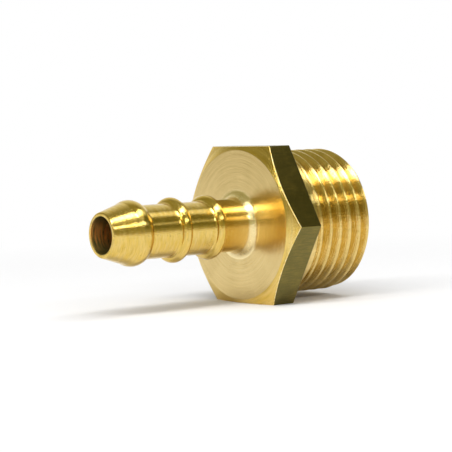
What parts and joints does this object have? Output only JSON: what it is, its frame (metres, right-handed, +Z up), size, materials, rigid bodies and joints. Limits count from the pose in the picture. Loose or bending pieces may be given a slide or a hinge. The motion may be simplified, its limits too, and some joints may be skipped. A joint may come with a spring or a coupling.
{
  "type": "hose barb tail",
  "caption": "Brass hose tail: a barbed and beaded hollow stem that a hose is pushed onto, a hexagon to turn it by, and a parallel male pipe thread.",
  "frame": {"origin": "on the part's axis, on the shoulder where the hexagon ends and the male thread starts", "axes": "+X along the axis towards the threaded end, with the hose end at -X; +Z up, square to the hexagon flat that the part lies on; +Y across two corners of the hexagon"},
  "size_m": [0.0406, 0.026, 0.0226],
  "materials": {
    "brass": "turned and polished"
  },
  "bodies": {
    "root": {"hose_tail": "brass"}
  },
  "joints": []
}
